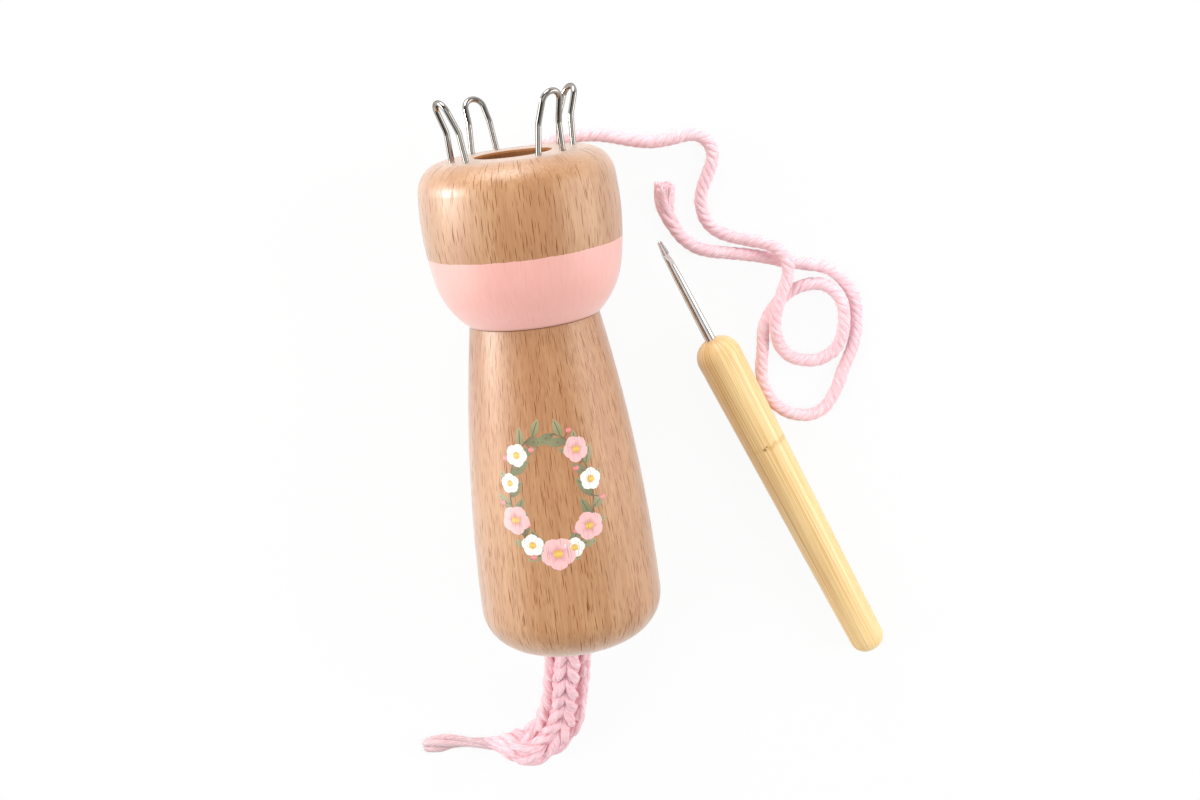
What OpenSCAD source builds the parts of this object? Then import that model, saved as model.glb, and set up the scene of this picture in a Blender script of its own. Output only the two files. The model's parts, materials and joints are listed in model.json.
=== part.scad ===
// Spool knitter: a turned beech doll with four wire loops on its head, a hook with a
// bamboo handle, a knitted cord in the bore and a loose end of yarn.
// The doll lies on its side on a table. The origin is the centre of its base, +Y runs
// along the doll towards the wire loops, and +Z is up from the table.

/* [Head] */
// Widest diameter of the head
head_d = 50; // [46:0.5:56]
// Height of the head from the neck seam to the top face
head_h = 40.9; // [37:0.1:48]
// Depth of the widest ring below the top face
head_widest = 14.6; // [11:0.1:18]
// Radius of the barrel curve down the side of the head
head_barrel_r = 76; // [55:1:140]
// Radius of the round between the top face and the side
head_top_round = 7.6; // [4:0.1:9]
// Depth below the top face where the side starts to round in towards the neck
head_under_start = 29; // [24:0.1:33]
// Diameter of the head at the neck seam
head_neck_d = 34; // [32:0.2:38]
// Height of the painted band above the neck seam
paint_h = 18; // [6:0.5:26]

/* [Trunk] */
// Height of the trunk from the base to the neck seam
trunk_h = 86.6; // [70:0.2:110]
// Diameter of the trunk at the neck seam
trunk_neck_d = 32.8; // [30:0.2:38]
// Diameter that the side curve reaches at the base plane
trunk_base_d = 47.4; // [42:0.2:52]
// Height of the belly of the side curve over a straight cone
trunk_bulge = 2.1; // [0.6:0.1:4]
// Radius of the round between the side and the base
base_round = 10.6; // [5:0.2:12]
// Bevel on the upper edge of the trunk
neck_bevel = 0.4; // [0.2:0.1:1]

/* [Bore and tenon] */
// Diameter of the bore through head and trunk
bore_d = 18.5; // [15:0.1:20]
// Bevel on both mouths of the bore
bore_bevel = 0.5; // [0.2:0.1:1]
// Diameter of the tenon that joins trunk and head
tenon_d = 26; // [23:0.2:28]
// Length of the tenon
tenon_h = 14; // [8:0.5:16]
// Glue gap round each glued or driven piece
glue_gap = 0.04; // [0.02:0.01:0.1]

/* [Wire loops] */
// Diameter of the wire
wire_d = 1.45; // [1:0.05:2]
// Wood between the bore and the middle of the wire's feet
loop_wall = 5.95; // [4.5:0.05:7]
// Direction of the first loop round the bore, from +X towards +Z
loop_1_angle = 54; // [44:1:64]
// Direction of the second loop
loop_2_angle = 150; // [140:1:160]
// Direction of the third loop
loop_3_angle = 242; // [232:1:252]
// Direction of the fourth loop
loop_4_angle = 333; // [323:1:343]
// Radius of the bend at the top of a loop
loop_bend_r = 2.6; // [2:0.1:3.5]
// Angle by which each leg splays from the middle of its loop
loop_splay = 5; // [0:0.5:8]
// Length of the first loop's straight legs above the kink
loop_1_upper = 5; // [3:0.1:9]
// Length of the second loop's legs above the kink
loop_2_upper = 5; // [3:0.1:9]
// Length of the third loop's legs above the kink
loop_3_upper = 3.5; // [3:0.1:9]
// Length of the fourth loop's legs above the kink
loop_4_upper = 4.3; // [3:0.1:9]
// Length of the straight leg between the wood and the kink
loop_lower = 6.8; // [4:0.1:10]
// Angle by which the lower legs lean outwards
loop_lean = 5; // [0:0.5:10]
// Angle of the outward kink
loop_kink = 16; // [5:0.5:25]
// Radius of the kink
loop_kink_r = 4; // [2:0.5:8]
// Depth of the wire's feet in the wood
loop_depth = 10; // [6:0.5:12]

/* [Hook] */
// Length of the handle
handle_l = 101.5; // [80:0.5:130]
// Diameter of the handle behind its nose
handle_front_d = 12.3; // [10:0.1:15]
// Diameter of the handle before its rear end
handle_rear_d = 9.6; // [8:0.1:12]
// Radius of the round nose
handle_nose_r = 5.4; // [3:0.1:5.8]
// Radius of the round at the rear end
handle_rear_r = 3.8; // [1:0.1:4.2]
// Diameter of the steel where it leaves the handle
shank_d = 2.9; // [2.4:0.05:4]
// Diameter of the steel just behind the throat
shank_neck_d = 2.4; // [2:0.05:2.8]
// Length of steel in front of the handle
shank_l = 30; // [24:0.2:45]
// Length of the tang inside the handle
tang_l = 26; // [15:0.5:40]
// Length of the hook's head from throat to tip
hook_l = 4.1; // [2.5:0.1:5]
// Diameter of the hook's head
hook_d = 2.1; // [1.8:0.05:2.4]
// Radius of the tip
hook_tip_r = 0.62; // [0.4:0.02:0.9]
// Length of the slope from the shank down into the throat
throat_l = 3.2; // [1.5:0.1:4]
// Steel left behind the throat
throat_back = 1; // [0.7:0.05:1.3]
// Width of the throat under the lip
throat_w = 0.8; // [0.5:0.05:1.2]

/* [Hook place] */
// X of the rear end of the handle
hook_x = 82.5; // [70:0.1:100]
// Y of the rear end of the handle
hook_y = -24; // [-40:0.1:0]
// Heading of the hook over the table, from +X
hook_heading = 111.2; // [95:0.1:130]
// Height angle of the throat's opening above the table
hook_throat_angle = 40; // [0:5:80]

/* [Cords] */
// Diameter of the yarn
yarn_d = 3.5; // [2.5:0.1:4]
// Diameter of the knitted cord
knit_d = 12.5; // [9:0.1:14]

/* [Hidden] */
$fn = 96;
fine = 1440;
over = 1;
far = 1000;
// Overlap of a straight wire into the bend that it continues
lap = 0.002;

// Heights along the doll, from its base
neck_z = trunk_h;
top_z = trunk_h + head_h;
widest_z = top_z - head_widest;

// Head outline: barrel arc, top round tangent to it, and an underside arc that leaves
// the barrel tangentially and ends at the neck
barrel_c = [head_d / 2 - head_barrel_r, widest_z];
top_round_dz = head_widest - head_top_round;
top_round_c = [barrel_c.x + sqrt(pow(head_barrel_r - head_top_round, 2) - pow(top_round_dz, 2)),
               top_z - head_top_round];
top_join_angle = atan2(top_round_c.y - barrel_c.y, top_round_c.x - barrel_c.x);
top_join_z = barrel_c.y + head_barrel_r * sin(top_join_angle);
under_z = top_z - head_under_start;
under_angle = asin((under_z - barrel_c.y) / head_barrel_r);
under_n = [cos(under_angle), sin(under_angle)];
under_p = barrel_c + head_barrel_r * under_n;
under_chord = under_p - [head_neck_d / 2, neck_z];
under_r = (under_chord * under_chord) / (2 * (under_chord * under_n));
under_c = under_p - under_r * under_n;

// Trunk outline: one bellied arc and a base round tangent to it
side_chord = [trunk_base_d / 2 - trunk_neck_d / 2, -trunk_h];
side_len = norm(side_chord);
side_r = pow(side_len, 2) / (8 * trunk_bulge) + trunk_bulge / 2;
side_mid = [trunk_neck_d / 2, trunk_h] + side_chord / 2;
side_in = [side_chord.y, -side_chord.x] / side_len;
side_c = side_mid + side_in * (side_r - trunk_bulge);
base_c = [side_c.x + sqrt(pow(side_r - base_round, 2) - pow(base_round - side_c.y, 2)), base_round];
base_join_z = side_c.y + side_r * (base_c.y - side_c.y) / (side_r - base_round);

// The doll rests on the widest rings of head and trunk, so its axis leans a little
trunk_widest_z = max(base_round, side_c.y);
trunk_widest_r = side_c.y > base_round ? side_c.x + side_r : base_c.x + base_round;
lean = asin((head_d / 2 - trunk_widest_r) / (widest_z - trunk_widest_z));
table_z = trunk_widest_z * sin(lean) - trunk_widest_r * cos(lean);

// Foot of a loop's leg, measured down the leg from the end of its upper stretch, and the
// place of the top bend over that foot
loop_angles = [loop_1_angle, loop_2_angle, loop_3_angle, loop_4_angle];
loop_uppers = [loop_1_upper, loop_2_upper, loop_3_upper, loop_4_upper];
loop_foot_r = bore_d / 2 + loop_wall;
loop_tilt = loop_lean + loop_kink;
foot_y = loop_kink_r * (1 - cos(loop_kink)) + loop_lower * sin(loop_kink);
foot_l = loop_kink_r * sin(loop_kink) + loop_lower * cos(loop_kink);
function foot_z(upper) = loop_bend_r * sin(loop_splay) - (upper + foot_l) * cos(loop_splay);
function loop_out(upper) = loop_foot_r - foot_y * cos(loop_tilt) - foot_z(upper) * sin(loop_tilt);
function loop_up(upper) = top_z + foot_y * sin(loop_tilt) - foot_z(upper) * cos(loop_tilt);

// Handle outline: two rounds and the straight taper tangent to both
nose_c = [handle_front_d / 2 - handle_nose_r, handle_l - handle_nose_r];
rear_c = [handle_rear_d / 2 - handle_rear_r, handle_rear_r];
round_gap = nose_c - rear_c;
taper = atan2(round_gap.y, round_gap.x) - acos((handle_rear_r - handle_nose_r) / norm(round_gap));
taper_n = [cos(taper), sin(taper)];
handle_rest = rear_c * taper_n + handle_rear_r;
tip_z = handle_l + shank_l;
lip_z = tip_z - hook_l;

// Route of the knitted cord: x, y, height of its underside above the table, and its
// radius as a share of the full radius
knit_route = [
    [-0.8, 60, 15.9, 1], [-0.8, 40, 15.7, 1], [-1, 20, 15.6, 1], [-1.2, 4, 15.5, 1], [-1.5, -2, 15.3, 1],
    [-2.4, -8, 12.6, 1], [-3.4, -13.4, 8.2, 1], [-4.6, -18.8, 3.9, 1], [-5.6, -24.8, 1, 1],
    [-7.6, -31.4, 0, 1], [-11.8, -36.5, 0, 0.92], [-17, -39, 0, 0.9], [-21, -38.9, 0, 0.76],
    [-24.3, -38.8, 0, 0.5], [-28, -38.6, 0, 0.3], [-33.5, -37.6, 0, 0.26], [-38.3, -36.4, 0, 0.32],
    [-43.5, -35.9, 0, 0.42], [-47.4, -36.1, 0, 0.32],
];

// Route of the loose yarn: x, y and height of its underside above the table. Its first
// points are pinched under the head: their radius as a share of the full radius
yarn_pinch = [0.2, 0.42, 0.78];
yarn_route = [
    [-0.5, 122.8, 0], [2, 124.5, 0], [5, 125.9, 0], [8.5, 127, 0], [12.5, 127.8, 0], [17, 128.1, 0],
    [23.4, 127.5, 0], [30.2, 125.5, 0], [35.8, 124.2, 0], [40.8, 124.2, 0], [46.8, 124.8, 0],
    [50.7, 123, 0], [52.1, 118.8, 0], [50.1, 113.8, 0], [48, 109.5, 0], [47.6, 105.2, 0],
    [49.2, 100.6, 0], [52.8, 97.6, 0], [58.2, 95.6, 0.6], [64.8, 93.4, 2.8], [68, 89.8, 4.2],
    [68.4, 85.4, 4.2], [66.2, 80.4, 4.2], [64.2, 75.6, 4], [63.7, 70.2, 3.2], [65, 65.3, 1.3],
    [68.5, 61.5, 0], [74.8, 60.2, 0], [80, 62.8, 0.7], [82.2, 68.1, 2.2], [82.7, 74.6, 2.2],
    [80.8, 78.8, 1], [76.6, 81.2, 0], [70.8, 80.6, 0], [65.4, 77.4, 0], [61.4, 71.9, 0], [60.3, 65.7, 0],
    [59.3, 59.4, 0], [59.7, 54.5, 0], [61.8, 50, 0], [65.8, 46.5, 0], [71.5, 45.1, 0], [75.9, 46.9, 0],
    [79.2, 51.3, 0], [81.9, 57, 0], [84.7, 62.5, 0], [86.2, 67.8, 0], [86.5, 74.7, 0], [84.2, 80.6, 0],
    [79.7, 85, 0], [73.2, 87, 0], [68.3, 88.3, 0], [62.4, 90.3, 0], [55.6, 92, 0], [48.8, 93.5, 0],
    [44.4, 95.5, 0], [41, 99, 0], [38.5, 104.3, 0], [37.9, 108.5, 0], [38.6, 112.6, 0],
];

// A tube along points, with a radius at each point
cord_sides = 8;
function unit(v) = v / norm(v);
function heading_at(p, i) = unit(p[min(i + 1, len(p) - 1)] - p[max(i - 1, 0)]);
function ring(p, i, r) =
    let (t = heading_at(p, i))
    let (side = unit(cross(t, [0, 0, 1])))
    let (up = cross(side, t))
    [for (k = [0:cord_sides - 1])
        let (a = 360 * (k + 0.5) / cord_sides)
        p[i] + r / cos(180 / cord_sides) * (cos(a) * side + sin(a) * up)];
function band(i, k) =
    let (n = cord_sides)
    let (a = i * n + k)
    let (b = i * n + (k + 1) % n)
    [[a, a + n, b], [b, a + n, b + n]];

module tube(p, radii) {
    n = cord_sides;
    last = (len(p) - 1) * n;
    points = [for (i = [0:len(p) - 1]) each ring(p, i, radii[i])];
    sides = [for (i = [0:len(p) - 2]) for (k = [0:n - 1]) each band(i, k)];
    start = [for (k = [1:n - 2]) [0, k, k + 1]];
    end = [for (k = [1:n - 2]) [last, last + k + 1, last + k]];
    polyhedron(points, concat(sides, start, end));
}

// Least gap between stretches of the loose yarn that lie apart along it
yarn_radii = [for (i = [0:len(yarn_route) - 1])
    yarn_d / 2 * (i < len(yarn_pinch) ? yarn_pinch[i] : 1)];
yarn_points = [for (i = [0:len(yarn_route) - 1])
    let (p = yarn_route[i]) [p.x, p.y, table_z + yarn_radii[i] + p.z]];
apart = 4;
yarn_gaps = [for (i = [0:len(yarn_points) - 1]) for (j = [i + apart:1:len(yarn_points) - 1])
    norm(yarn_points[i] - yarn_points[j]) - yarn_radii[i] - yarn_radii[j]];
echo(least_yarn_gap = min(yarn_gaps));

module lie() rotate([lean - 90, 0, 0]) children();

// Part of an outline between two heights, out to a radius
module square_to(radius, low, high) translate([0, low]) square([radius, high - low]);

module slab(low, high) square_to(far, low, high);

module head_outline() {
    intersection() {
        slab(under_z, top_join_z);
        translate(barrel_c) circle(head_barrel_r, $fn = fine);
    }
    translate(top_round_c) circle(head_top_round);
    square_to(top_round_c.x, under_z, top_z);
    intersection() {
        slab(neck_z, widest_z);
        translate(under_c) circle(under_r);
    }
}

module trunk_outline() {
    difference() {
        union() {
            intersection() {
                slab(base_join_z, neck_z);
                translate(side_c) circle(side_r, $fn = fine);
            }
            translate(base_c) circle(base_round);
            square_to(base_c.x, 0, neck_z / 2);
        }
        translate([trunk_neck_d / 2, neck_z]) rotate(45) square(neck_bevel * sqrt(2), center = true);
    }
}

module bore() translate([0, 0, -over]) cylinder(d = bore_d, h = top_z + 2 * over);

// Bevel at a mouth of the bore; the wide end is at z = 0
module mouth_bevel() cylinder(d1 = bore_d + 2 * bore_bevel, d2 = bore_d, h = bore_bevel);

module head_wood() {
    difference() {
        rotate_extrude() head_outline();
        bore();
        translate([0, 0, neck_z - over]) cylinder(d = tenon_d + 2 * glue_gap, h = tenon_h + glue_gap + over);
        translate([0, 0, top_z]) mirror([0, 0, 1]) mouth_bevel();
        for (i = [0:len(loop_angles) - 1]) at_loop(i) legs() lower_leg(loop_uppers[i], wire_d + 2 * glue_gap);
    }
}

module head() {
    lie() {
        color("burlywood") intersection() {
            head_wood();
            translate([0, 0, neck_z + paint_h]) cylinder(d = far, h = far);
        }
        color("lightpink") intersection() {
            head_wood();
            cylinder(d = far, h = neck_z + paint_h);
        }
    }
}

module trunk() {
    color("tan") lie() difference() {
        union() {
            rotate_extrude() trunk_outline();
            translate([0, 0, neck_z - over]) cylinder(d = tenon_d, h = tenon_h + over);
        }
        bore();
        mouth_bevel();
    }
}

// Frame of a loop: its top bend is at the origin, in the XZ plane, and +Y faces outwards
module at_loop(i) {
    rotate(-loop_angles[i] - 90)
        translate([0, loop_out(loop_uppers[i]), loop_up(loop_uppers[i])])
            rotate([-loop_tilt, 0, 0]) children();
}

// Frame of each leg: it starts at the top bend and runs along +Z
module legs() {
    for (side = [0, 1])
        mirror([side, 0, 0])
            rotate([0, -loop_splay, 0])
                translate([loop_bend_r, 0, 0])
                    rotate([0, 180, 0]) children();
}

module lower_leg(upper, d) {
    translate([0, loop_kink_r * (1 - cos(loop_kink)), upper + loop_kink_r * sin(loop_kink)])
        rotate([-loop_kink, 0, 0])
            translate([0, 0, -lap]) cylinder(d = d, h = lap + loop_lower + loop_depth);
}

module bent_wire(radius, angle) rotate_extrude(angle = angle) translate([radius, 0]) circle(d = wire_d);

module wire_loop(i) {
    upper = loop_uppers[i];
    color("silver") lie() at_loop(i) {
        rotate([90, 0, 0]) rotate(loop_splay) bent_wire(loop_bend_r, 180 - 2 * loop_splay);
        legs() {
            translate([0, 0, -lap]) cylinder(d = wire_d, h = lap + upper);
            translate([0, loop_kink_r, upper]) rotate([90, 0, -90]) bent_wire(loop_kink_r, loop_kink);
            lower_leg(upper, wire_d);
        }
    }
}

module knitted_cord() {
    radii = [for (p = knit_route) p[3] * knit_d / 2];
    points = [for (i = [0:len(knit_route) - 1])
        let (p = knit_route[i]) [p.x, p.y, table_z + p.z + radii[i]]];
    color("lightpink") tube(points, radii);
}

module working_yarn() {
    color("pink") tube(yarn_points, yarn_radii);
}

// Frame of the hook: its axis is +Z from the handle's rear end, and it lies on its taper
module at_hook() {
    translate([hook_x, hook_y, table_z + handle_rest]) rotate([0, 90 + taper, hook_heading]) children();
}

module handle_outline() {
    intersection() {
        square([far, handle_l]);
        union() {
            translate(nose_c) circle(handle_nose_r);
            translate(rear_c) circle(handle_rear_r);
            polygon([[0, 0], [rear_c.x, 0], rear_c + handle_rear_r * taper_n,
                     nose_c + handle_nose_r * taper_n, [nose_c.x, handle_l], [0, handle_l]]);
        }
    }
}

module hook_handle() {
    color("sandybrown") at_hook() difference() {
        rotate_extrude() handle_outline();
        translate([0, 0, handle_l - tang_l - glue_gap])
            cylinder(d = shank_d + 2 * glue_gap, h = tang_l + glue_gap + over);
    }
}

module shank_outline() {
    polygon([[0, handle_l - tang_l], [shank_d / 2, handle_l - tang_l], [shank_d / 2, handle_l],
             [shank_neck_d / 2, lip_z - 2 * throat_l], [hook_d / 2, lip_z - throat_l],
             [hook_d / 2, lip_z], [hook_tip_r, tip_z - hook_tip_r], [0, tip_z - hook_tip_r]]);
    intersection() {
        translate([0, tip_z - hook_tip_r]) circle(hook_tip_r);
        square([hook_tip_r, tip_z]);
    }
}

// Throat: a round under the lip that opens along a slope towards the handle
module throat_outline() {
    deep = throat_back - hook_d / 2 + throat_w / 2;
    translate([deep, lip_z]) circle(throat_w / 2);
    polygon([[deep, lip_z + throat_w / 2], [shank_d, lip_z - throat_w / 2], [shank_d, lip_z - 2 * throat_l],
             [hook_d / 2, lip_z - throat_l], [deep - throat_w / 2, lip_z]]);
}

module hook_shank() {
    color("silver") at_hook() rotate(270 - hook_throat_angle) difference() {
        rotate_extrude() shank_outline();
        rotate([90, 0, 0]) linear_extrude(shank_d * 2, center = true) throat_outline();
    }
}

head();
trunk();
for (i = [0:len(loop_angles) - 1])
    wire_loop(i);
knitted_cord();
working_yarn();
hook_handle();
hook_shank();
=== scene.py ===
"""Looks of a spool knitting doll with its hook, knitted cord and loose yarn.

The wooden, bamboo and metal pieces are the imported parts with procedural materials. The yarn, the
knitting and the flowers printed on the trunk are modelled here. Lengths are in metres. The routes,
the stitch, the print and the places on wood and bamboo are in millimetres.
"""

import json
import math

import bpy
import numpy as np
from mathutils import Matrix, Vector
from mathutils.bvhtree import BVHTree


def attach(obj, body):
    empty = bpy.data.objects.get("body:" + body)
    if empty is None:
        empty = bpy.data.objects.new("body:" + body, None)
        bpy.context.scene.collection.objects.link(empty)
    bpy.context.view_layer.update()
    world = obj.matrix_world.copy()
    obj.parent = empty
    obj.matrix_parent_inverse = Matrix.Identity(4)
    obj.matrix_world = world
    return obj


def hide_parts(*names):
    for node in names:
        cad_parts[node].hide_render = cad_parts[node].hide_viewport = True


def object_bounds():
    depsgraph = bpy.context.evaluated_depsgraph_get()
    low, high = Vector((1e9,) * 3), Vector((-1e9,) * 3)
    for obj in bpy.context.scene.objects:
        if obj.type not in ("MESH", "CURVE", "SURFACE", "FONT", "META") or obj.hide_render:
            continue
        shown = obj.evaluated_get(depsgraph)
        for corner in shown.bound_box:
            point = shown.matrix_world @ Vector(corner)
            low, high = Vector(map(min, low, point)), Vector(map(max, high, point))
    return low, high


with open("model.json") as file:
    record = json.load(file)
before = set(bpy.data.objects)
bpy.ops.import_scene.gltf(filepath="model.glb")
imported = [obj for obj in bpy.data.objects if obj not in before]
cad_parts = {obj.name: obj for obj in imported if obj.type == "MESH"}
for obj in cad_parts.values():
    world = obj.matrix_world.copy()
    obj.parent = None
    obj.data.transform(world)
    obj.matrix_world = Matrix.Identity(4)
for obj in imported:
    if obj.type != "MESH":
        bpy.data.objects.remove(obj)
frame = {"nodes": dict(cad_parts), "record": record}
cad_low, cad_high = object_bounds()
nodes = frame["nodes"]
scene = bpy.context.scene

MM = 0.001
SEED = 7
TABLE_Z = cad_low.z

# The doll's own directions: along its axis towards the loops, to its side, and away from the table.
DOLL_UP = -Vector(frame["record"]["mounts"][0]["axis"]).normalized()
DOLL_SIDE = Vector((1, 0, 0))
DOLL_FRONT = DOLL_SIDE.cross(DOLL_UP)
DOLL_LEAN = math.atan2(DOLL_UP.z, DOLL_UP.y)

# Heights along the doll's axis: its neck, its top face and the upper edge of the paint.
NECK = min(DOLL_UP.dot(v.co) for v in nodes["head"].data.vertices)
TOP_FACE = max(DOLL_UP.dot(v.co) for v in nodes["head"].data.vertices)
PAINT_EDGE = NECK + 18 * MM

# Millimetres from the doll's axis: where pores are drawn, and how far the bore and the socket reach.
PORE_RADIUS = 21
BORE_REACH = 9.7
SOCKET_REACH = 13.2

# The hook's rear end, its direction seen from above, its rise, and the bamboo's joint in millimetres
# from the rear end.
HOOK_REAR = Vector((82.5 * MM, -24 * MM, TABLE_Z + 4.7 * MM))
HOOK_HEADING = math.radians(111.2)
HOOK_RISE = math.radians(0.84)
BAMBOO_JOINT = 68.7

# Routes in millimetres. Knitting: x, y, height of its underside, share of the full radius.
KNIT_ROUTE = [
    (-0.8, 60, 15.9, 1), (-0.8, 40, 15.7, 1), (-1, 20, 15.6, 1), (-1.2, 4, 15.5, 1), (-1.9, -2, 14.9, 1),
    (-2.9, -8, 12.2, 1), (-3.8, -13.4, 9.4, 1), (-4.6, -18.8, 6.5, 1), (-5.6, -24.8, 3.3, 1),
    (-7.6, -31.4, 0.7, 1), (-11.8, -36.5, 0, 0.92), (-17, -39, 0, 0.9), (-21, -38.9, 0, 0.76),
    (-24.3, -38.8, 0, 0.5), (-28, -38.6, 0, 0.3), (-33.5, -37.6, 0, 0.26), (-38.3, -36.4, 0, 0.32),
    (-43.5, -35.9, 0, 0.42), (-47.4, -36.1, 0, 0.32),
]
# Yarn: x, y, height of its underside. Its first points are pinched under the head, with these shares
# of the full radius.
YARN_PINCH = (0.2, 0.42, 0.78)
YARN_ROUTE = [
    (-0.5, 122.8, 0), (2, 124.5, 0), (5, 125.9, 0), (8.5, 127, 0), (12.5, 127.8, 0), (17, 128.1, 0),
    (23.4, 127.5, 0), (30.2, 125.5, 0), (35.8, 124.2, 0), (40.8, 124.2, 0), (46.8, 124.8, 0),
    (50.7, 123, 0), (52.1, 118.8, 0), (50.1, 113.8, 0), (48, 109.5, 0), (47.6, 105.2, 0), (49.2, 100.6, 0),
    (52.8, 97.6, 0), (58.2, 95.6, 0.6), (64.8, 93.4, 2.8), (68, 89.8, 4.2), (68.4, 85.4, 4.2),
    (66.2, 80.4, 4.2), (64.2, 75.6, 4), (63.7, 70.2, 3.2), (65, 65.3, 1.3), (68.5, 61.5, 0),
    (74.8, 60.2, 0), (80, 62.8, 0.7), (82.2, 68.1, 2.2), (82.7, 74.6, 2.2), (80.8, 78.8, 1),
    (76.6, 81.2, 0), (70.8, 80.6, 0), (65.4, 77.4, 0), (61.4, 71.9, 0), (60.3, 65.7, 0), (59.3, 59.4, 0),
    (59.7, 54.5, 0), (61.8, 50, 0), (65.8, 46.5, 0), (71.5, 45.1, 0), (75.9, 46.9, 0), (79.2, 51.3, 0),
    (81.9, 57, 0), (84.7, 62.5, 0), (86.2, 67.8, 0), (86.5, 74.7, 0), (84.2, 80.6, 0), (79.7, 85, 0),
    (73.2, 87, 0), (68.3, 88.3, 0), (62.4, 90.3, 0), (55.6, 92, 0), (48.8, 93.5, 0), (44.4, 95.5, 0),
    (41, 99, 0), (38.5, 104.3, 0), (37.9, 108.5, 0), (38.6, 112.6, 0),
]
YARN_D = 3.5 * MM
YARN_PLIES = 4
YARN_TWIST = -8.6 * MM
KNIT_D = 12.5 * MM
KNIT_COLUMNS = 4
KNIT_ROW = 6.1 * MM
# Steps between the points of the yarn's line, of the knitting's middle and of its stitches.
YARN_STEP = 0.5 * MM
KNIT_STEP = 0.4 * MM
LOOP_STEP = 0.66 * MM


def linear(red, green, blue):
    """A colour from its screen values of 0 to 255."""
    shares = [value / 255 for value in (red, green, blue)]
    return [s / 12.92 if s <= 0.04045 else ((s + 0.055) / 1.055) ** 2.4 for s in shares]


def paint(red, green, blue):
    """The same with full opacity, for a colour socket."""
    return (*linear(red, green, blue), 1)


# Lines and strands

# The side that a strand's frame starts from
FIRST_SIDE = (0.1, 0.2, 1)
# Radius of a loose fibre from its root to its tip, and its least height above the table
FIBRE_RADII = np.array([0.02, 0.018, 0.014, 0.01]) * MM
FIBRE_CLEAR = 0.03 * MM
# Radius of a thread in an open end, and the turn from one to the next, in radians
THREAD_RADIUS = 0.42 * MM
THREAD_TURN = 2.4


def lengths(points):
    """How far along the line each point is."""
    steps = np.linalg.norm(np.diff(points[:, :3], axis=0), axis=1)
    return np.concatenate([[0], np.cumsum(steps)])


def resample(points, step):
    """The line again, at even steps. Columns after the third are carried along."""
    along = lengths(points)
    at = np.linspace(0, along[-1], int(math.ceil(along[-1] / step)) + 1)
    return np.stack([np.interp(at, along, column) for column in points.T], axis=1)


def smooth_line(points, step, passes):
    """An even smooth line through the points, with its bends softened."""
    points = np.array(points, float)
    ends = np.vstack([2 * points[0] - points[1], points, 2 * points[-1] - points[-2]])
    t = np.linspace(0, 1, 16, endpoint=False)[:, None]
    spans = []
    for a, b, c, d in zip(ends, ends[1:], ends[2:], ends[3:]):
        bend = 2 * a - 5 * b + 4 * c - d
        spans.append(0.5 * (2 * b + (c - a) * t + bend * t**2 + (3 * b - a - 3 * c + d) * t**3))
    line = resample(np.vstack([*spans, points[-1:]]), step)
    for _ in range(passes):
        line[1:-1] = (line[:-2] + 2 * line[1:-1] + line[2:]) / 4
    return resample(line, step)


def unit(vectors):
    return vectors / np.linalg.norm(vectors, axis=-1, keepdims=True)


def frames(line, first):
    """Direction, side and second side along a line, turning as little as it can."""
    ahead = unit(np.gradient(line[:, :3], axis=0))
    side = np.empty_like(ahead)
    last = np.array(first, float)
    for i, direction in enumerate(ahead):
        last = last - direction * last.dot(direction)
        last = last / np.linalg.norm(last)
        side[i] = last
    return ahead, side, np.cross(ahead, side)


def wander(count, spread, size, rng):
    """A slow random drift of about that size."""
    knots = rng.normal(0, size, int(count / spread) + 4)
    at = np.arange(count) / spread
    whole = at.astype(int)
    part = at - whole
    part = part * part * (3 - 2 * part)
    return knots[whole] * (1 - part) + knots[whole + 1] * part


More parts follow.
